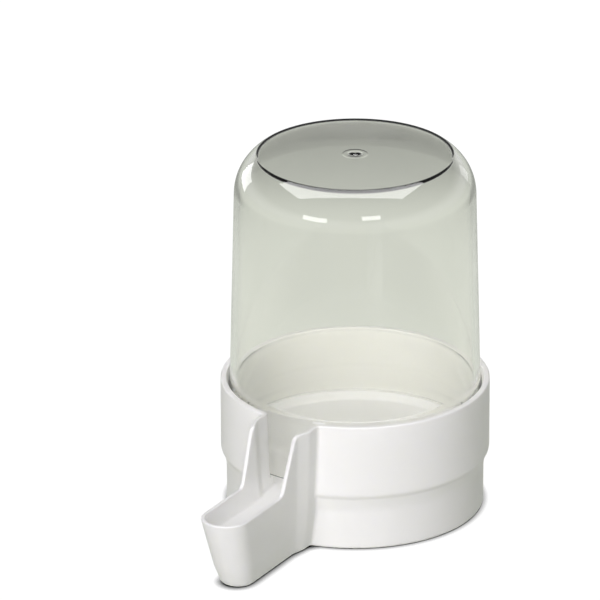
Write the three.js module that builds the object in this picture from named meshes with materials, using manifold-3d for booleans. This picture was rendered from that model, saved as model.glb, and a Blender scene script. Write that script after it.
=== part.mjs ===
// Siphon drinker for cage birds: a white dish with a drinking spout moulded on its front,
// and a clear cup that stands upside down in the dish and keeps the spout filled.
// Lengths are in millimetres. +Z is up, the spout points along -Y, and the origin is the
// centre of the dish's flat underside.
import * as THREE from "three";
import { mergeVertices } from "three/addons/utils/BufferGeometryUtils.js";
import Module from "manifold-3d";

// Dish: a round wall that steps in to a hollow foot, with a raised floor that runs on into
// the spout, and an inner ledge that carries the cup.
const dishRadius = 37.5;
const dishHeight = 37.0;
const dishWall = 1.7;
const floorHeight = 15.4; // top of the floor, in the dish and in the trough
const floorThickness = 1.8;
const ledgeHeight = 18.0;
const ledgeWidth = 1.6;
const stepDrop = 1.6; // from the ledge down to where the outside begins to draw in
const stepRise = 4.4; // height over which the outside draws in
const footRounding = 1.2;
const rimRounding = 0.8;

// Spout: a narrow trough with a half-round nose, all measured at its lip except where named.
const lipHeight = 21.4;
const lipWidth = 13.7;
const lipReach = 78.6; // from the dish's axis to the tip of the nose
const footWidth = 10.9; // across the trough at its underside
const footReach = 70.6;
const spoutWall = 1.2;

// Flanks: the trough's side walls rise to the dish's rim, and step out at a shoulder
// that stops against the cage bars.
const flankTopWidth = 14.8; // across the flanks where they meet the top
const flankLipReach = 52.3; // front edge of the flank, where it leaves the lip
const flankTopReach = 46.0; // the same edge, where it meets the top
const flankLipRounding = 1.2;
const flankTopRounding = 2.0;
const shoulderWidth = 16.5; // at lip level, as are the next two
const shoulderReach = 44.6; // from the dish's axis to the front of the shoulder
const shoulderSlant = 4.1; // length over which the flank steps out
const shoulderRounding = 0.8;

// Cup: a collar that fits the dish, a drawn-in neck and a bead below it, a tapered body,
// a rounded shoulder and a flat crown.
const fitClearance = 0.4; // between the collar and the dish, all round
const seatGap = 0.3; // drawn under the mouth, which rests on the ledge
const cupHeight = 84.85; // from the mouth to the crown
const cupWall = 1.6;
const beadHeight = 3.4;
const neckHeight = 5.1;
const neckInset = 0.5;
const collarHeight = 10.5;
const collarInset = 0.5; // from the collar in to the body
const blendHeight = 0.6; // of the small cones between bead, neck, collar and body
const mouthRounding = 0.5;
const bodyTopRadius = 33.5;
const shoulderRise = 11.3; // from the top of the tapered body to the crown
const shoulderArc = 14.0;
const crownRadius = 27.2;
const gateRadius = 1.4; // the stub where the plastic entered the mould
const gateHeight = 0.5;

// How finely the round forms are cut.
const roundSides = 72;
const arcSteps = 8;
const cornerSteps = 3;

const wasm = await Module();
wasm.setup();

// A closed three.js geometry as a solid that can be joined and cut.
function solidOf(geometry) {
  const bare = geometry.clone();
  bare.deleteAttribute("normal");
  bare.deleteAttribute("uv");
  const merged = mergeVertices(bare, 1e-4);
  return new wasm.Manifold(
    new wasm.Mesh({
      numProp: 3,
      vertProperties: new Float32Array(merged.attributes.position.array),
      triVerts: new Uint32Array(merged.index.array),
    }),
  );
}

// The solid back as a flat-shaded geometry.
function geometryOf(solid) {
  const mesh = solid.getMesh();
  const geometry = new THREE.BufferGeometry()
    .setAttribute("position", new THREE.BufferAttribute(mesh.vertProperties, 3))
    .setIndex(new THREE.BufferAttribute(mesh.triVerts, 1))
    .toNonIndexed();
  geometry.computeVertexNormals();
  return geometry;
}

// A profile of (radius, height) points turned about +Z. It starts and ends on the axis,
// or closes on itself, and runs anticlockwise seen with the axis on the left.
function turned(profile) {
  const points = profile.map(([radius, height]) => new THREE.Vector2(radius, height));
  return new THREE.LatheGeometry(points, roundSides).rotateX(Math.PI / 2);
}

// Centre of a round stretch from one (radius, height) point to another, which bulges to
// the right of the way it runs.
function arcCentre([ra, za], [rb, zb], radius) {
  const chord = Math.hypot(rb - ra, zb - za);
  const bow = Math.sqrt(Math.max(radius * radius - (chord * chord) / 4, 0));
  return [
    (ra + rb) / 2 - ((zb - za) / chord) * bow,
    (za + zb) / 2 + ((rb - ra) / chord) * bow,
  ];
}

// Points of such a round stretch, both ends included.
function arcBetween(from, to, radius, steps) {
  const [centreR, centreZ] = arcCentre(from, to, radius);
  const chord = Math.hypot(to[0] - from[0], to[1] - from[1]);
  const sweep = 2 * Math.asin(Math.min(chord / (2 * radius), 1));
  const start = Math.atan2(from[1] - centreZ, from[0] - centreR);
  return Array.from({ length: steps + 1 }, (_, i) => {
    const angle = start + (sweep * i) / steps;
    return [centreR + radius * Math.cos(angle), centreZ + radius * Math.sin(angle)];
  });
}

// A closed outline through [x, y, rounding] corners.
function roundedOutline(corners) {
  const at = (i) => corners[(i + corners.length) % corners.length];
  const outline = new THREE.Shape();
  corners.forEach(([x, y, rounding], i) => {
    const corner = new THREE.Vector2(x, y);
    const [before, after] = [at(i - 1), at(i + 1)].map(([nx, ny]) =>
      new THREE.Vector2(nx, ny).sub(corner),
    );
    const cut = Math.min(rounding, before.length() / 2, after.length() / 2);
    const start = corner.clone().add(before.setLength(cut));
    const end = corner.clone().add(after.setLength(cut));
    if (i === 0) outline.moveTo(start.x, start.y);
    else outline.lineTo(start.x, start.y);
    if (cut > 0) outline.quadraticCurveTo(x, y, end.x, end.y);
  });
  outline.closePath();
  return outline;
}

// Narrows and shortens a form below the lip and widens it above, as the mould's draft does.
// Lengths along the spout are measured from the dish's outside.
function drafted(geometry) {
  const footWidthShare = footWidth / lipWidth - 1;
  const footReachShare = (footReach - dishRadius) / (lipReach - dishRadius) - 1;
  const topShare = flankTopWidth / lipWidth - 1;
  const place = geometry.attributes.position;
  for (let i = 0; i < place.count; i++) {
    const below = Math.max(lipHeight - place.getZ(i), 0) / lipHeight;
    const above = Math.max(place.getZ(i) - lipHeight, 0) / (dishHeight - lipHeight);
    const width = 1 + below * footWidthShare + above * topShare;
    const length = 1 + below * footReachShare + above * topShare;
    const reach = -place.getY(i) - dishRadius;
    place.setX(i, place.getX(i) * width);
    place.setY(i, -(dishRadius + reach * length));
  }
  return geometry;
}

// The spout seen from above at lip level, drawn in by inset, from the dish's axis outwards.
function spoutPlan(inset) {
  const narrow = lipWidth / 2 - inset;
  const wide = shoulderWidth / 2 - inset;
  const turn = Math.atan2((shoulderWidth - lipWidth) / 2, shoulderSlant);
  const front = -(shoulderReach - inset * Math.tan(turn / 2));
  const back = front + shoulderSlant;
  const noseCentre = -(lipReach - lipWidth / 2);
  const nose = [];
  for (let i = 0; i <= 2 * arcSteps; i++) {
    const angle = (Math.PI * i) / (2 * arcSteps);
    nose.push([-narrow * Math.cos(angle), noseCentre - narrow * Math.sin(angle), 0]);
  }
  return roundedOutline([
    [wide, 0, 0],
    [-wide, 0, 0],
    [-wide, back, shoulderRounding],
    [-narrow, front, shoulderRounding],
    ...nose,
    [narrow, front, shoulderRounding],
    [wide, back, shoulderRounding],
  ].reverse());
}

// A plan outline as an upright solid between two heights, with the mould's draft, which
// changes at the lip.
function spoutBlock(inset, bottom, top) {
  const levels = top > lipHeight ? [bottom, lipHeight, top] : [bottom, top];
  const block = new THREE.ExtrudeGeometry(spoutPlan(inset), {
    depth: levels.length - 1,
    steps: levels.length - 1,
    bevelEnabled: false,
    curveSegments: cornerSteps,
  });
  const place = block.attributes.position;
  for (let i = 0; i < place.count; i++) {
    place.setZ(i, levels[Math.round(place.getZ(i))]);
  }
  return solidOf(drafted(block));
}

// The spout from the side, as a thick slab: level at the lip, then up the flanks' front
// edge to the height of the dish's rim.
function spoutSide() {
  const beyond = lipReach + dishRadius;
  const outline = roundedOutline([
    [0, 0, 0],
    [beyond, 0, 0],
    [beyond, lipHeight, 0],
    [flankLipReach, lipHeight, flankLipRounding],
    [flankTopReach, dishHeight, flankTopRounding],
    [0, dishHeight, 0],
  ]);
  const depth = 2 * dishRadius;
  const slab = new THREE.ExtrudeGeometry(outline, {
    depth,
    bevelEnabled: false,
    curveSegments: 2 * cornerSteps,
  });
  // Outline x runs out along -Y and outline y runs up.
  slab.translate(0, 0, -depth / 2).rotateX(Math.PI / 2).rotateZ(-Math.PI / 2);
  return solidOf(slab);
}

// White dish and spout, one moulding.
function makeBase() {
  const footRadius = dishRadius - ledgeWidth;
  const boreRadius = dishRadius - dishWall;
  const wellRadius = footRadius - dishWall;
  const stepTop = ledgeHeight - stepDrop;
  const rimSide = [dishRadius, dishHeight - rimRounding];
  const rimTop = [dishRadius - rimRounding, dishHeight];
  const above = dishHeight + dishWall;
  const underside = -dishWall;
  const footCeiling = floorHeight - floorThickness;
  const body = turned([
    [0, 0],
    ...arcBetween(
      [footRadius - footRounding, 0],
      [footRadius, footRounding],
      footRounding,
      cornerSteps,
    ),
    [footRadius, stepTop - stepRise],
    [dishRadius, stepTop],
    ...arcBetween(rimSide, rimTop, rimRounding, cornerSteps),
    [0, dishHeight],
  ]);
  const hollow = turned([
    [0, floorHeight],
    [wellRadius, floorHeight],
    [wellRadius, ledgeHeight],
    [boreRadius, ledgeHeight],
    [boreRadius, above],
    [0, above],
  ]);
  const footHollow = turned([
    [0, underside],
    [wellRadius, underside],
    [wellRadius, footCeiling],
    [0, footCeiling],
  ]);
  const spout = spoutBlock(0, 0, dishHeight).intersect(spoutSide());
  const cuts = [
    solidOf(hollow),
    spoutBlock(spoutWall, floorHeight, above),
    solidOf(footHollow),
    spoutBlock(spoutWall, underside, footCeiling),
  ];
  return cuts.reduce((left, cut) => left.subtract(cut), solidOf(body).add(spout));
}

// Clear cup, mouth down: its outside from the mouth up to the crown, then its inside back.
function makeReservoir() {
  const collarRadius = dishRadius - dishWall - fitClearance;
  const neckRadius = collarRadius - neckInset;
  const bodyRadius = collarRadius - collarInset;
  const boreRadius = collarRadius - cupWall;
  const mouth = ledgeHeight + seatGap;
  const beadTop = mouth + beadHeight;
  const neckTop = beadTop + neckHeight;
  const collarTop = neckTop + collarHeight;
  const crown = mouth + cupHeight;
  const ceiling = crown - cupWall;
  const bodyTop = crown - shoulderRise;
  const shoulderFoot = [bodyTopRadius, bodyTop];
  const shoulderHead = [crownRadius, crown];
  const [arcR, arcZ] = arcCentre(shoulderFoot, shoulderHead, shoulderArc);
  const innerArc = shoulderArc - cupWall;
  const innerHead = [arcR + Math.sqrt(innerArc ** 2 - (ceiling - arcZ) ** 2), ceiling];
  const innerFoot = [bodyTopRadius - cupWall, bodyTop];
  return solidOf(
    turned([
      [boreRadius, mouth],
      ...arcBetween(
        [collarRadius - mouthRounding, mouth],
        [collarRadius, mouth + mouthRounding],
        mouthRounding,
        cornerSteps,
      ),
      [collarRadius, beadTop - blendHeight],
      [neckRadius, beadTop],
      [neckRadius, neckTop - blendHeight],
      [collarRadius, neckTop],
      [collarRadius, collarTop - blendHeight],
      [bodyRadius, collarTop],
      ...arcBetween(shoulderFoot, shoulderHead, shoulderArc, arcSteps),
      [gateRadius, crown],
      [gateRadius, crown + gateHeight],
      [0, crown + gateHeight],
      [0, ceiling],
      ...arcBetween(innerFoot, innerHead, innerArc, arcSteps).reverse(),
      [bodyRadius - cupWall, collarTop],
      [boreRadius, collarTop - blendHeight],
      [boreRadius, mouth],
    ]),
  );
}

const whitePlastic = new THREE.MeshStandardMaterial({
  color: 0xf2f2f0,
  roughness: 0.25,
  metalness: 0,
});
const clearPlastic = new THREE.MeshStandardMaterial({
  color: 0xdde3d2,
  roughness: 0.05,
  metalness: 0,
  transparent: true,
  opacity: 0.35,
});

// A named piece of the drinker.
function piece(name, solid, material) {
  const mesh = new THREE.Mesh(geometryOf(solid), material);
  mesh.name = name;
  return mesh;
}

const drinker = new THREE.Group();
drinker.add(piece("base", makeBase(), whitePlastic));
drinker.add(piece("reservoir", makeReservoir(), clearPlastic));

export default drinker;
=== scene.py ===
"""Siphon drinker for cage birds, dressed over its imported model.

The drinker is two injection mouldings: a white dish with a drinking spout on its front,
and a clear cup that stands mouth down in the dish. Each is rebuilt here as a fine mesh
with rounded edges and gets the finish of the plastic it is moulded from. Sizes in the
classes are millimetres; meshes are turned to metres when they are finished.
"""

import logging
import math
from dataclasses import dataclass
from enum import Enum
from typing import Any

import bmesh
import bpy
from mathutils import Matrix, Vector


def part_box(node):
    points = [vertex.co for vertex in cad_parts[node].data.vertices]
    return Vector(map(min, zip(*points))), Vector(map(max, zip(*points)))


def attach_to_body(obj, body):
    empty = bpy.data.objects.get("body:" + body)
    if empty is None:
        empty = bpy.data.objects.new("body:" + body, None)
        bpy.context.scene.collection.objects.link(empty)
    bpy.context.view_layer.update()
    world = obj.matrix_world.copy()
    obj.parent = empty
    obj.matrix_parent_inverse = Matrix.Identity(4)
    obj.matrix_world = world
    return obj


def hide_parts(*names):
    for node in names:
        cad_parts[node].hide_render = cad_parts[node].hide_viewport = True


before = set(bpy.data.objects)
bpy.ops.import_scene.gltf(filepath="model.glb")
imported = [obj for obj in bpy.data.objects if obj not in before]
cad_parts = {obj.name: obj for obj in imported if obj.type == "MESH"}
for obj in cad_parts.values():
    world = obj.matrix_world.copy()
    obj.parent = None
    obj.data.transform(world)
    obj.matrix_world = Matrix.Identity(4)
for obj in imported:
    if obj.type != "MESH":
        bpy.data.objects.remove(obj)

LOG = logging.getLogger("drinker")
MM = 0.001
# Vertices that lie closer than this, in millimetres, are one.
SAME_PLACE = 1e-4
# Slack for comparing two lengths that may be equal.
TINY = 1e-6
# Edges that turn by more degrees than this are shaded sharp.
SHARP_ANGLE = 40.0
# A rounding takes no more of a side than the side's length over this.
CUT_LIMIT = 2.2
# How far beside a rounding the point lies that keeps the flat flat, as a share of the cut.
FLAT_GUARD = 1.1
# Rounds of halving that find a place on a curve.
HALVINGS = 30
Chain = list[bmesh.types.BMVert]
Corner = tuple[float, float, float]
Point = tuple[float, float]


class Face(Enum):
    """The two faces of the moulding's thin wall."""

    OUTER = "outer"
    INNER = "inner"


class Stretch(Enum):
    """The stretches of the base's plan, from the back of the dish to the spout's tip."""

    DISH = 100
    FILLET = 6
    FLANK = 52
    LIP = 26
    NOSE = 22


def srgb(code: str) -> tuple[float, float, float, float]:
    """Turns an sRGB hex colour into Blender's linear colour.

    Args:
        code: Six hex digits after a hash.

    Returns:
        Linear red, green and blue, and an alpha of 1.
    """
    shares = [int(code[i : i + 2], 16) / 255 for i in (1, 3, 5)]
    linear = [c / 12.92 if c <= 0.04045 else ((c + 0.055) / 1.055) ** 2.4 for c in shares]
    return (*linear, 1.0)


def add_node(
    tree: bpy.types.NodeTree,
    kind: str,
    sockets: dict[str | int, Any] | None = None,
    **settings: Any,
) -> bpy.types.Node:
    """Adds a shader node with its settings, its values and its links.

    Args:
        tree: The node tree that gets the node.
        kind: The node's type, without the leading "ShaderNode".
        sockets: What goes into each input: a number or colour, or a socket to link.
        **settings: Properties of the node itself.

    Returns:
        The new node.
    """
    node = tree.nodes.new("ShaderNode" + kind)
    for name, value in settings.items():
        setattr(node, name, value)
    for name, value in (sockets or {}).items():
        if isinstance(value, bpy.types.NodeSocket):
            tree.links.new(value, node.inputs[name])
        else:
            node.inputs[name].default_value = value
    return node


def empty_tree(owner: bpy.types.Material | bpy.types.World) -> bpy.types.NodeTree:
    """Gives a material or world an empty node tree and returns it."""
    owner.use_nodes = True
    owner.node_tree.nodes.clear()
    return owner.node_tree


def add_object(name: str, data: bpy.types.ID) -> bpy.types.Object:
    """Puts an object with the given mesh, lamp or camera in the scene."""
    made = bpy.data.objects.new(name, data)
    bpy.context.scene.collection.objects.link(made)
    return made


def add_mesh(mesh: bmesh.types.BMesh, name: str, material: bpy.types.Material) -> bpy.types.Object:
    """Turns a mesh into an object of one material, and frees the mesh.

    Args:
        mesh: The mesh, in metres.
        name: The object's name.
        material: The material for all of its faces.

    Returns:
        The object, at the origin.
    """
    data = bpy.data.meshes.new(name)
    mesh.to_mesh(data)
    mesh.free()
    data.materials.append(material)
    return add_object(name, data)


def seen_indirectly(
    tree: bpy.types.NodeTree, path: bpy.types.bpy_prop_collection
) -> bpy.types.NodeSocket:
    """Tells the rays that a gloss mirrors or the clear wall lets through from all others.

    Args:
        tree: The node tree that asks.
        path: The outputs of its Light Path node.

    Returns:
        A socket that is 1 for such rays and 0 for others.
    """
    rays = {0: path["Is Glossy Ray"], 1: path["Is Transmission Ray"]}
    return add_node(tree, "Math", rays, operation="MAXIMUM").outputs["Value"]


def hinge(distance: float, rounding: float) -> float:
    """A ramp that starts at zero, with its corner rounded.

    Args:
        distance: How far past the corner the ramp is read; below zero is before it.
        rounding: Half the length over which the corner is rounded.

    Returns:
        The ramp's height.
    """
    if distance <= -rounding:
        return 0.0
    if distance >= rounding:
        return distance
    return (distance + rounding) ** 2 / (4 * rounding)


def bow(start: Point, corner: Point, end: Point, share: float) -> Point:
    """A point on the curve that rounds a corner from start to end."""
    a, b, c = (1 - share) ** 2, 2 * share * (1 - share), share**2
    return (
        a * start[0] + b * corner[0] + c * end[0],
        a * start[1] + b * corner[1] + c * end[1],
    )


def rounded(corners: list[Corner], steps: int = 6) -> list[Point]:
    """Rounds the corners of an open outline, with a point beside each to keep the flats flat.

    Args:
        corners: Each corner's two coordinates and the length cut from it on both sides.
        steps: Edges in each rounded corner.

    Returns:
        The outline's points, end corners included.
    """
    points: list[Point] = []
    for before, (x, y, cut), after in zip(corners, corners[1:], corners[2:]):
        here = Vector((x, y))
        back = Vector(before[:2]) - here
        ahead = Vector(after[:2]) - here
        if cut == 0:
            points.append((x, y))
            continue
        before_cut = min(cut, back.length / CUT_LIMIT)
        after_cut = min(cut, ahead.length / CUT_LIMIT)
        start = here + back.normalized() * before_cut
        end = here + ahead.normalized() * after_cut
        points.append(tuple(here + back.normalized() * before_cut * FLAT_GUARD))
        for i in range(steps + 1):
            points.append(bow(tuple(start), (x, y), tuple(end), i / steps))
        points.append(tuple(here + ahead.normalized() * after_cut * FLAT_GUARD))
    return [corners[0][:2], *points, corners[-1][:2]]


def arc(centre: Point, radius: float, start: float, end: float, steps: int) -> list[Point]:
    """Points of a round stretch between two angles in degrees, both ends included."""
    angles = [math.radians(start + (end - start) * i / steps) for i in range(steps + 1)]
    return [
        (centre[0] + radius * math.cos(a), centre[1] + radius * math.sin(a)) for a in angles
    ]


def draw_chain(mesh: bmesh.types.BMesh, places: list[Vector]) -> Chain:
    """Draws a chain of edges through the given places by extruding one vertex."""
    chain = [bmesh.ops.create_vert(mesh, co=places[0])["vert"][0]]
    for place in places[1:]:
        tip = bmesh.ops.extrude_vert_indiv(mesh, verts=[chain[-1]])["verts"][0]
        tip.co = place
        chain.append(tip)
    return chain


def edges_of(mesh: bmesh.types.BMesh, chain: Chain) -> list[bmesh.types.BMEdge]:
    """The edges that join a chain's vertices in order."""
    return [mesh.edges.get((a, b)) for a, b in zip(chain, chain[1:])]


def raise_chain(mesh: bmesh.types.BMesh, chain: Chain, places: list[Vector]) -> Chain:
    """Extrudes a chain into a band of faces and moves its new edge to the given places.

    Args:
        mesh: The mesh that holds the chain.
        chain: The vertices to extrude, in order.
        places: Where each new vertex goes.

    Returns:
        The new vertices, in the same order.
    """
    made = bmesh.ops.extrude_edge_only(mesh, edges=edges_of(mesh, chain))["geom"]
    fresh = {item for item in made if isinstance(item, bmesh.types.BMVert)}
    raised = []
    for vertex, place in zip(chain, places):
        others = (edge.other_vert(vertex) for edge in vertex.link_edges)
        copy = next(other for other in others if other in fresh)
        copy.co = place
        raised.append(copy)
    return raised


def finished(mesh: bmesh.types.BMesh, name: str, material: bpy.types.Material) -> bpy.types.Object:
    """Turns a mesh in millimetres into a smooth object in metres.

    Args:
        mesh: A closed mesh, which is freed.
        name: The object's name.
        material: The finish for all of its faces.

    Returns:
        The object, at the origin.
    """
    sharp = math.radians(SHARP_ANGLE)
    bmesh.ops.remove_doubles(mesh, verts=mesh.verts, dist=SAME_PLACE)
    bmesh.ops.recalc_face_normals(mesh, faces=mesh.faces)
    bmesh.ops.scale(mesh, vec=(MM, MM, MM), verts=mesh.verts)
    for face in mesh.faces:
        face.smooth = True
    for edge in mesh.edges:
        edge.smooth = edge.calc_face_angle(0.0) < sharp
    piece = add_mesh(mesh, name, material)
    LOG.info("%s: %d faces", name, len(piece.data.polygons))
    return piece


@dataclass(frozen=True)
class WhitePolystyrene:
    """High-impact polystyrene, injection moulded in a polished tool and coloured white.

    To the eye it is a warm, milky white with a clear gloss. The flow of the melt leaves
    faint clouds in the colour, and the skin has a very shallow ripple that softens the
    edges of its highlights.

    Attributes:
        bright: Its colour between the clouds.
        clouded: Its colour inside them.
        glow_weight: The share of the light that enters the plastic and comes out again.
        glow_reach: How far that light goes inside, in millimetres.
        glow_tint: How far each of red, green and blue goes, as a share of that.
        sheen_low: Its roughness between the clouds.
        sheen_high: Its roughness inside them.
        cloud_size: The clouds' size in millimetres.
        ripple_size: From one ripple to the next, in millimetres.
        ripple_depth: The ripples' height in millimetres.
    """

    bright: str = "#F8F8F7"
    clouded: str = "#F4F4F1"
    glow_weight: float = 0.35
    glow_reach: float = 1.6
    glow_tint: tuple[float, float, float] = (1.0, 1.0, 0.9)
    index: float = 1.59
    sheen_low: float = 0.32
    sheen_high: float = 0.42
    cloud_size: float = 14.0
    cloud_detail: float = 3.0
    ripple_size: float = 2.4
    ripple_detail: float = 1.0
    ripple_depth: float = 0.012

    def material(self) -> bpy.types.Material:
        """Builds the finish as a material."""
        made = bpy.data.materials.new("white_polystyrene")
        tree = empty_tree(made)
        place = add_node(tree, "TexCoord").outputs["Object"]
        clouds = add_node(
            tree,
            "TexNoise",
            {"Vector": place, "Scale": 1 / (self.cloud_size * MM), "Detail": self.cloud_detail},
        ).outputs["Fac"]
        ripple = add_node(
            tree,
            "TexNoise",
            {"Vector": place, "Scale": 1 / (self.ripple_size * MM), "Detail": self.ripple_detail},
        ).outputs["Fac"]
        colour = add_node(
            tree,
            "Mix",
            {0: clouds, 6: srgb(self.bright), 7: srgb(self.clouded)},
            data_type="RGBA",
        ).outputs[2]
        sheen = add_node(
            tree, "MapRange", {"Value": clouds, "To Min": self.sheen_low, "To Max": self.sheen_high}
        ).outputs["Result"]
        relief = add_node(
            tree, "Bump", {"Height": ripple, "Strength": 1.0, "Distance": self.ripple_depth * MM}
        ).outputs["Normal"]
        shader = add_node(
            tree,
            "BsdfPrincipled",
            {
                "Base Color": colour,
                "Roughness": sheen,
                "Normal": relief,
                "IOR": self.index,
                "Subsurface Weight": self.glow_weight,
                "Subsurface Radius": self.glow_tint,
                "Subsurface Scale": self.glow_reach * MM,
            },
        )
        add_node(tree, "OutputMaterial", {"Surface": shader.outputs["BSDF"]})
        return made


@dataclass(frozen=True)
class ClearPolystyrene:
    """Crystal polystyrene, injection moulded and left clear.

    To the eye it is glass-like, with bright highlights and strong bending of what lies
    behind its edges. Unlike glass it has a faint grey-green cast, deepest where one looks
    along the wall, and the melt leaves a slow waviness.

    Attributes:
        tint: What its surface does to light that enters.
        shade: What is left of the lamps' light in its shadow.
        cast: The colour that light takes on inside the plastic.
        cast_density: How fast it does so, per metre.
        gloss_low: Its roughness where the waves are low.
        gloss_high: Its roughness where they are high.
        wave_size: From one wave to the next, in millimetres.
        wave_depth: The waves' height in millimetres.
    """

    tint: str = "#FEFEFC"
    shade: str = "#FEFEFC"
    cast: str = "#8F9A62"
    cast_density: float = 16.0
    index: float = 1.59
    gloss_low: float = 0.015
    gloss_high: float = 0.035
    wave_size: float = 16.0
    wave_detail: float = 0.0
    wave_depth: float = 0.02

    def material(self) -> bpy.types.Material:
        """Builds the finish as a material."""
        made = bpy.data.materials.new("clear_polystyrene")
        tree = empty_tree(made)
        place = add_node(tree, "TexCoord").outputs["Object"]
        waves = add_node(
            tree,
            "TexNoise",
            {"Vector": place, "Scale": 1 / (self.wave_size * MM), "Detail": self.wave_detail},
        ).outputs["Fac"]
        gloss = add_node(
            tree, "MapRange", {"Value": waves, "To Min": self.gloss_low, "To Max": self.gloss_high}
        ).outputs["Result"]
        relief = add_node(
            tree, "Bump", {"Height": waves, "Strength": 1.0, "Distance": self.wave_depth * MM}
        ).outputs["Normal"]
        shader = add_node(
            tree,
            "BsdfPrincipled",
            {
                "Base Color": srgb(self.tint),
                "Roughness": gloss,
                "Normal": relief,
                "IOR": self.index,
                "Transmission Weight": 1.0,
            },
        )
        shadow = add_node(tree, "LightPath").outputs["Is Shadow Ray"]
        let_by = add_node(tree, "BsdfTransparent", {"Color": srgb(self.shade)})
        surface = add_node(
            tree,
            "MixShader",
            {0: shadow, 1: shader.outputs["BSDF"], 2: let_by.outputs["BSDF"]},
        )
        inside = add_node(
            tree, "VolumeAbsorption", {"Color": srgb(self.cast), "Density": self.cast_density}
        )
        add_node(
            tree,
            "OutputMaterial",
            {"Surface": surface.outputs["Shader"], "Volume": inside.outputs["Volume"]},
        )
        return made


@dataclass(frozen=True)
class Level:
    """One level of the base's wall.

    Attributes:
        radius: The dish's radius there.
        height: Its height where the wall is as high as the rim.
        inset: How far the spout's outline is drawn in.
        base: The height above which it follows the wall's top edge down.
        depth: Its depth under the wall's top edge, for the levels that round that edge.
    """

    radius: float
    height: float
    inset: float
    base: float = 0.0
    depth: float | None = None


@dataclass
class Base:
    """The white moulding: a stepped dish, two flanks and the drinking spout in front.

    Attributes:
        radius: The dish's outside.
        height: The rim's height.
        reach: From the dish's axis to the tip of the spout, at its lip.
        floor: Height of the floor, which is one level in the dish and the spout.
        ledge_height: Height of the ledge that carries the cup.
        ledge_width: How far the ledge, and the foot below it, stand in from the dish.
        ledge_slope: Half the ledge's fall towards the middle.
        step_drop: From the ledge down to the top of the step on the outside.
        step_rise: The step's height, over which the dish grows to its full radius.
        step_nip: How far in and down from the step's top its slope changes.
        tuck: How far the spout's outline is drawn in at the ground.
        tuck_height: Height at which that starts.
        foot_width: The spout's width at the ground.
        foot_reach: From the dish's axis to the spout's tip at the ground.
        flank_lip_reach: Where the flank's front edge meets the lip.
        flank_top_reach: Where it meets the top, which is as high as the rim.
        shoulder_width: The spout's width behind the shoulder.
        shoulder_reach: Where the shoulder starts, from the dish's axis.
        shoulder_slant: The shoulder's length along the spout.
        dish_fillet: Length of the fillet from the dish to the spout, outside.
        slot_flare: Length of the rounding from the dish into the slot, inside.
        straight_top: Height of the last level below the rounded top edge.
    """

    radius: float
    height: float
    reach: float
    wall: float = 1.7
    floor: float = 15.4
    floor_thickness: float = 1.8
    ledge_height: float = 18.0
    ledge_width: float = 1.6
    ledge_slope: float = 0.05
    ledge_rounding: float = 0.2
    step_drop: float = 1.6
    step_rise: float = 4.6
    step_nip: tuple[float, float] = (0.8, 1.2)
    step_rounding: float = 0.7
    foot_rounding: float = 0.9
    floor_rounding: float = 0.9
    ceiling_rounding: float = 0.5
    tuck: float = 0.9
    tuck_height: float = 4.5
    lip_height: float = 21.4
    lip_width: float = 13.7
    spout_wall: float = 1.2
    foot_width: float = 10.9
    foot_reach: float = 70.6
    flank_top_width: float = 14.8
    flank_lip_reach: float = 52.3
    flank_top_reach: float = 46.0
    flank_lip_rounding: float = 1.6
    flank_top_rounding: float = 2.0
    shoulder_width: float = 16.5
    shoulder_reach: float = 44.6
    shoulder_slant: float = 4.1
    shoulder_rounding: float = 0.5
    dish_fillet: float = 0.9
    slot_flare: float = 1.0
    outer_edge: float = 0.45
    inner_edge: float = 0.3
    straight_top: float = 33.0
    edge_steps: int = 5

    def levels(self, face: Face) -> list[Level]:
        """The levels of one face of the wall, from the bottom up.

        Args:
            face: Which face of the wall.

        Returns:
            The levels, the last ones rounding the wall's top edge.
        """
        foot = self.radius - self.ledge_width
        well, bore = foot - self.wall, self.radius - self.wall
        ceiling = self.floor - self.floor_thickness
        step_top = self.ledge_height - self.step_drop
        soft = self.step_rounding
        if face is Face.OUTER:
            corners = [
                (well - 2 * self.ceiling_rounding, ceiling, 0),
                (well, ceiling, self.ceiling_rounding),
                (well, 0, self.inner_edge),
                (foot, 0, self.foot_rounding),
                (foot, step_top - self.step_rise, 2 * soft),
                (self.radius - self.step_nip[0], step_top - self.step_nip[1], soft / 2),
                (self.radius, step_top, soft),
                (self.radius, self.lip_height, 0),
                (self.radius, self.straight_top, 0),
            ]
            straight, base, inset = foot, self.foot_rounding, 0.0
            share = self.spout_wall / self.wall
            edge, way = self.outer_edge, 1
        else:
            corners = [
                (well - 2 * self.floor_rounding, self.floor, 0),
                (well, self.floor, self.floor_rounding),
                (well, self.ledge_height - self.ledge_slope, self.ledge_rounding),
                (bore, self.ledge_height + self.ledge_slope, self.ledge_rounding),
                (bore, self.lip_height, 0),
                (bore, self.straight_top, 0),
            ]
            straight, base, inset = well, self.floor + self.floor_rounding, self.spout_wall
            share = 1.0
            edge, way = self.inner_edge, -1
        made = []
        for radius, height in rounded(corners):
            drawn = max(straight - radius, 0) * share
            made.append(Level(radius, height, inset + drawn, height if drawn > 0 else base))
        top = corners[-1][0]
        for i in range(self.edge_steps + 1):
            turn = math.radians(90 * i / self.edge_steps)
            in_by = way * edge * (1 - math.cos(turn))
            depth = edge * (1 - math.sin(turn))
            made.append(Level(top - in_by, self.height, inset + in_by, depth=depth))
        return made

    def draft(self, height: float) -> tuple[float, float]:
        """How much wider and longer the spout is at a height than at its lip.

        Args:
            height: Height above the ground.

        Returns:
            The share of its lip width, and of its lip reach beyond the dish.
        """
        below = max(self.lip_height - height, 0) / self.lip_height
        above = max(height - self.lip_height, 0) / (self.height - self.lip_height)
        spread = above * (self.flank_top_width / self.lip_width - 1)
        shorter = (self.foot_reach - self.radius) / (self.reach - self.radius) - 1
        width = 1 + below * (self.foot_width / self.lip_width - 1) + spread
        return width, 1 + below * shorter + spread

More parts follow.
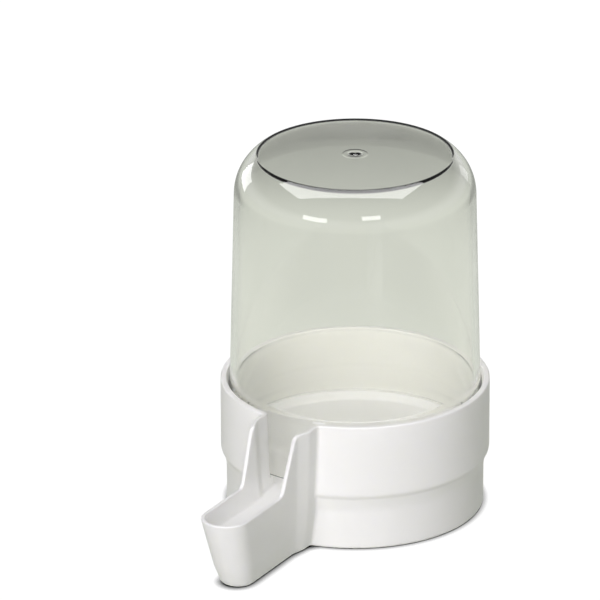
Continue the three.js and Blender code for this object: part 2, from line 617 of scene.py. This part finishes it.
    def half_width(self, reach: float, height: float, inset: float) -> float:
        """Half the spout's width, shoulder included, at a distance from the dish's axis."""
        width, length = self.draft(height)
        slope = (self.shoulder_width - self.lip_width) / 2 / self.shoulder_slant
        # The shoulder's corners move along the spout when its outline is drawn in.
        nip = inset * math.tan(math.atan(slope) / 2)
        front = self.radius + (self.shoulder_reach - self.radius) * length - nip
        back = front - self.shoulder_slant
        soft = self.shoulder_rounding
        out = hinge(front - reach, soft) - hinge(back - reach, soft)
        return (self.lip_width / 2 + slope * out) * width - inset

    def flank_curves(self) -> tuple[list[Point], list[Point]]:
        """The rounded lip end and top end of the flank's front edge, as (reach, height)."""
        lip = Vector((self.flank_lip_reach, self.lip_height))
        top = Vector((self.flank_top_reach, self.height))
        up = (top - lip).normalized()
        low, high = self.flank_lip_rounding, self.flank_top_rounding
        return (
            [tuple(lip + Vector((low, 0))), tuple(lip), tuple(lip + up * low)],
            [tuple(top - up * high), tuple(top), tuple(top - Vector((high, 0)))],
        )

    def top_at(self, reach: float) -> tuple[float, float]:
        """The top edge of the spout's side wall.

        Args:
            reach: Distance from the dish's axis along the spout.

        Returns:
            The edge's height there, and its slope as rise over run.
        """
        lip_curve, top_curve = self.flank_curves()
        if reach <= top_curve[2][0]:
            return self.height, 0.0
        if reach >= lip_curve[0][0]:
            return self.lip_height, 0.0
        (low_x, low_y), (high_x, high_y) = lip_curve[2], top_curve[0]
        slope = (high_y - low_y) / (high_x - low_x)
        if high_x <= reach <= low_x:
            return low_y + slope * (reach - low_x), slope
        curve = top_curve if reach < high_x else lip_curve
        before, after = 0.0, 1.0
        for _ in range(HALVINGS):
            share = (before + after) / 2
            if bow(*curve, share)[0] > reach:
                before = share
            else:
                after = share
        flat = share if curve is top_curve else 1 - share
        return bow(*curve, share)[1], slope * (1 - flat)

    def spot(self, stretch: Stretch, share: float, level: Level, height: float) -> Point:
        """Where one vertex of a level lies, seen from above.

        Args:
            stretch: The part of the plan.
            share: How far along that stretch, from 0 to 1.
            level: The level of the wall.
            height: The vertex's height.

        Returns:
            Its distance from the middle plane, and along the spout from the dish's axis.
        """
        _, length = self.draft(height)
        inset = level.inset + self.tuck * max(1 - height / self.tuck_height, 0) ** 2
        side = self.half_width(level.radius, height, inset)
        corner = math.asin(side / level.radius)
        soft = self.dish_fillet if level.inset < self.spout_wall - TINY else self.slot_flare
        turn = corner + soft / level.radius
        start = level.radius * math.cos(corner) + soft
        end = self.flank_lip_reach + self.flank_lip_rounding
        nose = self.lip_width / 2 * self.draft(height)[0] - inset
        nose_at = self.radius + (self.reach - self.lip_width / 2 - self.radius) * length
        tip_at = self.radius + (self.reach - self.radius) * length - inset
        if stretch is Stretch.DISH:
            angle = math.pi + (turn - math.pi) * share
            return level.radius * math.sin(angle), level.radius * math.cos(angle)
        if stretch is Stretch.FILLET:
            return bow(
                (level.radius * math.sin(turn), level.radius * math.cos(turn)),
                (side, level.radius * math.cos(corner)),
                (self.half_width(start, height, inset), start),
                share,
            )
        if stretch is Stretch.FLANK:
            reach = start + (end - start) * share
            return self.half_width(reach, height, inset), reach
        if stretch is Stretch.LIP:
            reach = end + (nose_at - end) * share
            return self.half_width(reach, height, inset), reach
        angle = math.pi / 2 * share
        return nose * math.cos(angle), nose_at + (tip_at - nose_at) * math.sin(angle)

    def columns(self) -> list[tuple[Stretch, float]]:
        """Every column of vertices, as its stretch and its share along it."""
        made = [(Stretch.DISH, 0.0)]
        for stretch in Stretch:
            made += [(stretch, i / stretch.value) for i in range(1, stretch.value + 1)]
        return made

    def places(self, level: Level, top: Level) -> list[Vector]:
        """The places of a level's vertices on the half with x above zero.

        Args:
            level: The level to place.
            top: The last level of the same face, which sets each column's height.

        Returns:
            One place for each column.
        """
        made = []
        for stretch, share in self.columns():
            edge, slope = self.height, 0.0
            if stretch is Stretch.FLANK:
                edge, slope = self.top_at(self.spot(stretch, share, top, self.height)[1])
            elif stretch in (Stretch.LIP, Stretch.NOSE):
                edge = self.lip_height
            if level.depth is None:
                share_up = (level.height - level.base) / (self.height - level.base)
                height = level.base + share_up * (edge - level.base)
            else:
                height = edge - level.depth * math.hypot(1, slope)
            x, reach = self.spot(stretch, share, level, height)
            made.append(Vector((x, -reach, height)))
        made[0].x = made[-1].x = 0.0
        return made

    def build(self, material: bpy.types.Material) -> bpy.types.Object:
        """Models the base and gives it its finish.

        Args:
            material: The finish.

        Returns:
            The finished piece.
        """
        mesh = bmesh.new()
        tops = []
        for face in Face:
            levels = self.levels(face)
            chain = draw_chain(mesh, self.places(levels[0], levels[-1]))
            bmesh.ops.contextual_create(mesh, geom=[chain[0], chain[-1]])
            loop = edges_of(mesh, [*chain, chain[0]])
            bmesh.ops.edgeloop_fill(mesh, edges=loop)
            for level in levels[1:]:
                chain = raise_chain(mesh, chain, self.places(level, levels[-1]))
            tops += edges_of(mesh, chain)
        bmesh.ops.bridge_loops(mesh, edges=tops)
        half = [*mesh.verts, *mesh.edges, *mesh.faces]
        bmesh.ops.mirror(mesh, geom=half, matrix=Matrix(), merge_dist=SAME_PLACE, axis="X")
        return finished(mesh, "dish_and_spout", material)


@dataclass
class Cup:
    """The clear moulding: a cup that stands mouth down in the dish.

    Attributes:
        collar: Radius of the collar that fits the dish.
        mouth: Height of the mouth's edge.
        crown: Height of the flat crown.
        mouth_wall: The wall's thickness at the mouth.
        mouth_taper: Height over which it grows to the full wall.
        bead_height: Height of the bead round the mouth.
        neck_height: Height of the drawn-in neck above the bead.
        neck_inset: How far the neck is drawn in.
        collar_height: Height of the collar above the neck.
        collar_inset: How far the body stands in from the collar.
        blend: Height of the slopes between bead, neck, collar and body.
        top_radius: The body's radius where the shoulder starts.
        shoulder_rise: The shoulder's height.
        shoulder_arc: Radius of the shoulder's arc.
        crown_radius: Radius of the flat crown.
        crease: Rounding of the crown's edge.
        gate_height: Height of the stub that the moulding left on the crown.
        gate_dip_radius: Radius of the shallow dip round the stub.
        gate_dip: The dip's depth.
        edge: Rounding of the cup's small edges.
    """

    collar: float
    mouth: float
    crown: float
    wall: float = 1.6
    mouth_wall: float = 0.9
    mouth_taper: float = 9.0
    bead_height: float = 3.4
    neck_height: float = 5.1
    neck_inset: float = 0.25
    collar_height: float = 10.5
    collar_inset: float = 0.5
    blend: float = 1.5
    top_radius: float = 33.5
    shoulder_rise: float = 11.3
    shoulder_arc: float = 14.0
    crown_radius: float = 27.2
    crease: float = 0.25
    bore_rounding: float = 1.0
    gate_top_radius: float = 0.84
    gate_foot_radius: float = 1.96
    gate_rounding: float = 0.5
    gate_height: float = 0.5
    gate_dip_radius: float = 3.3
    gate_dip: float = 0.07
    edge: float = 0.25
    sides: int = 180
    arc_steps: int = 28

    def shoulder(self) -> tuple[Point, float, float]:
        """The centre of the shoulder's arc, and the angles of its ends in degrees."""
        foot = Vector((self.top_radius, self.crown - self.shoulder_rise))
        head = Vector((self.crown_radius, self.crown))
        chord = head - foot
        away = math.sqrt(self.shoulder_arc**2 - chord.length_squared / 4)
        centre = (foot + head) / 2 + Vector((-chord.y, chord.x)).normalized() * away
        angles = [math.degrees(math.atan2(*reversed(end - centre))) for end in (foot, head)]
        return tuple(centre), angles[0], angles[1]

    def profile(self) -> list[Point]:
        """The closed profile as (radius, height), from the crown down and back up inside."""
        centre, low, high = self.shoulder()
        inner_arc = self.shoulder_arc - self.wall
        ceiling = self.crown - self.wall
        inner_high = math.degrees(math.asin((ceiling - centre[1]) / inner_arc))
        bead = self.mouth + self.bead_height
        neck = bead + self.neck_height
        top = neck + self.collar_height
        thin = self.collar - self.neck_inset
        body = self.collar - self.collar_inset
        bore = self.collar - self.wall
        outside = arc(centre, self.shoulder_arc, high, low, self.arc_steps)
        inside = arc(centre, inner_arc, low, inner_high, self.arc_steps)
        tip, dip = self.crown + self.gate_height, self.crown - self.gate_dip
        corners = [
            (0, tip, 0),
            (self.gate_top_radius, tip, self.gate_rounding),
            (self.gate_foot_radius, dip, self.gate_rounding),
            (self.gate_dip_radius, dip, self.edge),
            (self.gate_dip_radius + self.edge, self.crown, self.edge),
            (*outside[0], self.crease),
            *[(*point, 0) for point in outside[1:]],
            (body, top, self.edge),
            (self.collar, top - self.blend, self.blend / 2),
            (self.collar, neck, self.edge),
            (thin, neck - self.blend, self.edge),
            (thin, bead, self.edge),
            (self.collar, bead - self.blend, self.edge),
            (self.collar, self.mouth, self.edge),
            (self.collar - self.mouth_wall, self.mouth, self.edge),
            (bore, self.mouth + self.mouth_taper, self.bore_rounding),
            (bore, top - self.blend, self.bore_rounding),
            (body - self.wall, top, self.bore_rounding),
            *[(*point, 0) for point in inside[:-1]],
            (*inside[-1], self.edge),
            (0, ceiling, 0),
        ]
        return rounded(corners)

    def build(self, material: bpy.types.Material) -> bpy.types.Object:
        """Models the cup and gives it its finish.

        Args:
            material: The finish.

        Returns:
            The finished piece.
        """
        mesh = bmesh.new()
        chain = draw_chain(mesh, [Vector((r, 0, z)) for r, z in self.profile()])
        bmesh.ops.spin(
            mesh,
            geom=[*chain, *edges_of(mesh, chain)],
            cent=(0, 0, 0),
            axis=(0, 0, 1),
            angle=math.tau,
            steps=self.sides,
            use_merge=True,
        )
        return finished(mesh, "clear_cup", material)


@dataclass(frozen=True)
class Card:
    """A bright panel that only shows in reflections, as a softbox or window does.

    Attributes:
        name: The object's name.
        azimuth: Where it stands round the drinker; 0 is in front of the spout.
        elevation: Its height above the horizon, in degrees.
        distance: From the drinker, in metres.
        size: Its width and height, in metres.
        glow: Its brightness, where 1 is white.
        shift: How far it is moved to the right, in metres.
    """

    name: str
    azimuth: float
    elevation: float
    distance: float
    size: tuple[float, float]
    glow: float
    shift: float = 0.0


def outward(azimuth: float, elevation: float) -> Vector:
    """The direction from the drinker to a place round it.

    Args:
        azimuth: Degrees round from the front, where the spout points.
        elevation: Degrees above the horizon.

    Returns:
        A vector of length one.
    """
    a, e = math.radians(azimuth), math.radians(elevation)
    return Vector((math.sin(a) * math.cos(e), -math.cos(a) * math.cos(e), math.sin(e)))


@dataclass(frozen=True)
class Studio:
    """A white table in a soft light, and a long lens that looks down on the drinker.

    Attributes:
        azimuth: The camera's place round the drinker, in degrees.
        elevation: Its height above the horizon, in degrees.
        distance: From the point it is set on, in metres.
        aim_height: Height of that point on the cup's axis, in millimetres.
        aim_pixel: Where that point falls in the picture, in pixels from its top left.
        picture: The picture's width in pixels.
        clip: The nearest and farthest that the camera sees, in metres.
        bounce_colour: The table as it lights the drinker.
        through_colour: The table as gloss and the clear cup show it, close by.
        sweep_reach: Where that view of it falls off, in metres from the cup's axis.
        sweep_fall: What is left of it past that.
        far_reach: Where it grows brighter again, in metres.
        far_rise: By how much.
        contact_reach: How close something has to be for the painted contact shadow to darken the
            table, in millimetres.
        contact_range: The openness at which the painted contact shadow is black, and at which the
            table is white.
        open_white: The open table's strength to the camera, a little over white.
        sky_light: The sky's strength as a light.
        sky_low: Its strength in gloss and through the cup, near the horizon.
        sky_high: The same, high up.
        sky_band: The heights between which it changes, as the sine of the elevation.
    """

    azimuth: float = 29.39
    elevation: float = 22.895
    distance: float = 2.228
    aim_height: float = 37.5
    aim_pixel: tuple[float, float] = (355.1, 373.4)
    picture: float = 600.0
    lens: float = 480.0
    sensor: float = 36.0
    clip: tuple[float, float] = (0.1, 100.0)
    table_radius: float = 12.0
    table_sides: int = 96
    bounce_colour: str = "#BFC1B6"
    through_colour: str = "#DDE0D8"
    sweep_reach: tuple[float, float] = (0.19, 0.32)
    sweep_fall: float = 0.5
    far_reach: tuple[float, float] = (0.36, 0.6)
    far_rise: float = 0.4
    contact_reach: float = 3.6
    contact_range: tuple[float, float] = (0.3, 0.78)
    contact_samples: int = 16
    open_white: float = 1.05
    sky_colour: str = "#F8FAF2"
    sky_light: float = 0.2
    sky_low: float = 0.75
    sky_high: float = 0.16
    sky_band: tuple[float, float] = (0.1, 0.4)
    key_colour: str = "#FCF9FF"
    key_power: float = 19.4
    key_size: float = 1.1
    key_distance: float = 1.5
    key_azimuth: float = 14.0
    key_elevation: float = 27.0
    top_power: float = 1.6
    top_height: float = 1.0
    back_power: float = 7.0
    back_azimuth: float = 205.0
    back_elevation: float = 25.0
    fill_size: float = 0.8
    cards: tuple[Card, ...] = (
        Card("top_softbox", 28.4, 90.6, 1.0, (1.57, 0.7), 5.5, -0.1),
        Card("left_window", -108.0, 13.0, 0.7, (0.26, 0.2), 4.0),
        Card("right_window", 172.0, 12.0, 0.7, (0.12, 0.16), 1.6),
        Card("left_lamp", -9.0, 17.5, 1.5, (0.6, 0.24), 7.0),
        Card("right_lamp", 45.0, 26.0, 1.5, (0.42, 0.24), 7.0),
    )

    def place_camera(self) -> None:
        """Sets up the camera so that the drinker falls where it should in the picture."""
        data = bpy.data.cameras.new("camera")
        data.lens, data.sensor_width = self.lens, self.sensor
        data.clip_start, data.clip_end = self.clip
        camera = add_object("camera", data)
        bpy.context.scene.camera = camera
        back = outward(self.azimuth, self.elevation)
        camera.location = Vector((0, 0, self.aim_height * MM)) + back * self.distance
        focal = self.lens / self.sensor * self.picture
        x, y = (pixel - self.picture / 2 for pixel in self.aim_pixel)
        turn = Vector((x, -y, -focal)).rotation_difference(Vector((0, 0, -1)))
        camera.rotation_mode = "QUATERNION"
        camera.rotation_quaternion = (-back).to_track_quat("-Z", "Y") @ turn

    def add_sky(self) -> None:
        """Lights the drinker from all round, and shows white wherever the camera looks."""
        world = bpy.data.worlds.new("studio_sky")
        bpy.context.scene.world = world
        tree = empty_tree(world)
        path = add_node(tree, "LightPath").outputs
        direction = add_node(tree, "TexCoord").outputs["Generated"]
        height = add_node(tree, "SeparateXYZ", {"Vector": direction}).outputs["Z"]
        mirrored = add_node(
            tree,
            "MapRange",
            {
                "Value": height,
                "From Min": self.sky_band[0],
                "From Max": self.sky_band[1],
                "To Min": self.sky_low,
                "To Max": self.sky_high,
            },
            interpolation_type="SMOOTHSTEP",
        ).outputs["Result"]
        indirect = seen_indirectly(tree, path)
        seen = add_node(
            tree, "Mix", {0: indirect, 2: self.sky_light, 3: mirrored}, data_type="FLOAT"
        ).outputs[0]
        shown = add_node(
            tree, "Mix", {0: path["Is Camera Ray"], 2: seen, 3: 1.0}, data_type="FLOAT"
        ).outputs[0]
        colour = add_node(
            tree,
            "Mix",
            {0: path["Is Diffuse Ray"], 6: (1, 1, 1, 1), 7: srgb(self.sky_colour)},
            data_type="RGBA",
        ).outputs[2]
        light = add_node(tree, "Background", {"Color": colour, "Strength": shown})
        add_node(tree, "OutputWorld", {"Surface": light.outputs["Background"]})

    def add_table(self) -> None:
        """Adds the white table top, with a painted contact shadow where the drinker touches it."""
        made = bpy.data.materials.new("table_white")
        tree = empty_tree(made)
        path = add_node(tree, "LightPath").outputs
        place = add_node(tree, "TexCoord").outputs["Object"]
        reach = add_node(tree, "VectorMath", {0: place}, operation="LENGTH").outputs["Value"]
        # Painted contact shadow: ambient occlusion darkens the table to the camera close round the
        # drinker's foot.
        open_air = add_node(
            tree,
            "AmbientOcclusion",
            {"Distance": self.contact_reach * MM},
            samples=self.contact_samples,
        ).outputs["AO"]
        painted_contact_shadow = add_node(
            tree,
            "MapRange",
            {
                "Value": open_air,
                "From Min": self.contact_range[0],
                "From Max": self.contact_range[1],
                "To Max": self.open_white,
            },
        ).outputs["Result"]
        sweep = add_node(
            tree,
            "MapRange",
            {
                "Value": reach,
                "From Min": self.sweep_reach[0],
                "From Max": self.sweep_reach[1],
                "To Min": 1.0,
                "To Max": self.sweep_fall,
            },
            interpolation_type="SMOOTHSTEP",
        ).outputs["Result"]
        rise = add_node(
            tree,
            "MapRange",
            {
                "Value": reach,
                "From Min": self.far_reach[0],
                "From Max": self.far_reach[1],
                "To Max": self.far_rise,
            },
            interpolation_type="SMOOTHSTEP",
        ).outputs["Result"]
        glow = add_node(tree, "Math", {0: sweep, 1: rise}, operation="ADD").outputs["Value"]
        indirect = seen_indirectly(tree, path)
        lit = add_node(tree, "BsdfDiffuse", {"Color": srgb(self.bounce_colour)})
        # The camera sees the table as white emission that carries the painted contact shadow.
        seen = add_node(tree, "Emission", {"Strength": painted_contact_shadow})
        through = add_node(
            tree, "Emission", {"Color": srgb(self.through_colour), "Strength": glow}
        )
        unseen = add_node(
            tree,
            "MixShader",
            {0: indirect, 1: lit.outputs["BSDF"], 2: through.outputs["Emission"]},
        )
        shown = add_node(
            tree,
            "MixShader",
            {
                0: path["Is Camera Ray"],
                1: unseen.outputs["Shader"],
                2: seen.outputs["Emission"],
            },
        )
        add_node(tree, "OutputMaterial", {"Surface": shown.outputs["Shader"]})
        mesh = bmesh.new()
        bmesh.ops.create_circle(
            mesh, cap_ends=True, radius=self.table_radius, segments=self.table_sides
        )
        table = add_mesh(mesh, "table", made)

    def add_lamp(self, name: str, place: Vector, power: float, size: float) -> None:
        """Adds a square soft lamp that faces the drinker and shows only by its light."""
        data = bpy.data.lights.new(name, "AREA")
        data.energy, data.shape, data.size = power, "SQUARE", size
        data.color = srgb(self.key_colour)[:3]
        lamp = add_object(name, data)
        lamp.location = place
        lamp.rotation_mode = "QUATERNION"
        lamp.rotation_quaternion = (-place).to_track_quat("-Z", "Y")
        lamp.visible_camera = lamp.visible_glossy = lamp.visible_transmission = False

    def add_card(self, card: Card) -> None:
        """Adds a panel that the drinker's gloss reflects."""
        made = bpy.data.materials.new(card.name)
        tree = empty_tree(made)
        glow = add_node(tree, "Emission", {"Strength": card.glow})
        add_node(tree, "OutputMaterial", {"Surface": glow.outputs["Emission"]})
        away = outward(card.azimuth, card.elevation)
        right = outward(card.azimuth + 90, 0)
        turn = Matrix((right, away.cross(right), away)).transposed()
        mesh = bmesh.new()
        bmesh.ops.create_grid(mesh, x_segments=1, y_segments=1, size=0.5)
        bmesh.ops.scale(mesh, vec=(*card.size, 1), verts=mesh.verts)
        bmesh.ops.rotate(mesh, matrix=turn, verts=mesh.verts)
        place = away * card.distance + right * card.shift
        bmesh.ops.translate(mesh, vec=place, verts=mesh.verts)
        panel = add_mesh(mesh, card.name, made)
        panel.visible_camera = panel.visible_diffuse = False
        panel.visible_transmission = panel.visible_shadow = False

    def build(self) -> None:
        """Sets up the camera, the table and the light."""
        view = bpy.context.scene.view_settings
        view.view_transform = "Standard"
        self.place_camera()
        self.add_sky()
        self.add_table()
        key = outward(self.key_azimuth, self.key_elevation) * self.key_distance
        self.add_lamp("key_lamp", key, self.key_power, self.key_size)
        above = Vector((0, 0, self.top_height))
        self.add_lamp("top_lamp", above, self.top_power, self.fill_size)
        back = outward(self.back_azimuth, self.back_elevation) * self.key_distance
        self.add_lamp("back_lamp", back, self.back_power, self.fill_size)
        for card in self.cards:
            self.add_card(card)


def attach(piece: bpy.types.Object, body: str, node: str) -> None:
    """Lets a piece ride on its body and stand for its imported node.

    Args:
        piece: The finished piece.
        body: The body it moves with.
        node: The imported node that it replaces.
    """
    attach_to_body(piece, body)
    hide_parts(node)
    LOG.info("%s rides on %s", piece.name, body)


def make_base() -> Base:
    """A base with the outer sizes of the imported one."""
    low, high = (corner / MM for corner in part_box("base"))
    return Base(radius=high.x, height=high.z, reach=-low.y)


def make_cup() -> Cup:
    """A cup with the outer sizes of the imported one."""
    low, high = (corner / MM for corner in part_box("reservoir"))
    return Cup(collar=high.x, mouth=low.z, crown=high.z - Cup.gate_height)


def main() -> None:
    """Builds the studio and both mouldings."""
    logging.basicConfig(level=logging.INFO, format="%(name)s: %(message)s")
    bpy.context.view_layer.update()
    Studio().build()
    white, clear = WhitePolystyrene().material(), ClearPolystyrene().material()
    attach(make_base().build(white), "base", "base")
    attach(make_cup().build(clear), "reservoir", "reservoir")


if __name__ == "__main__":
    main()
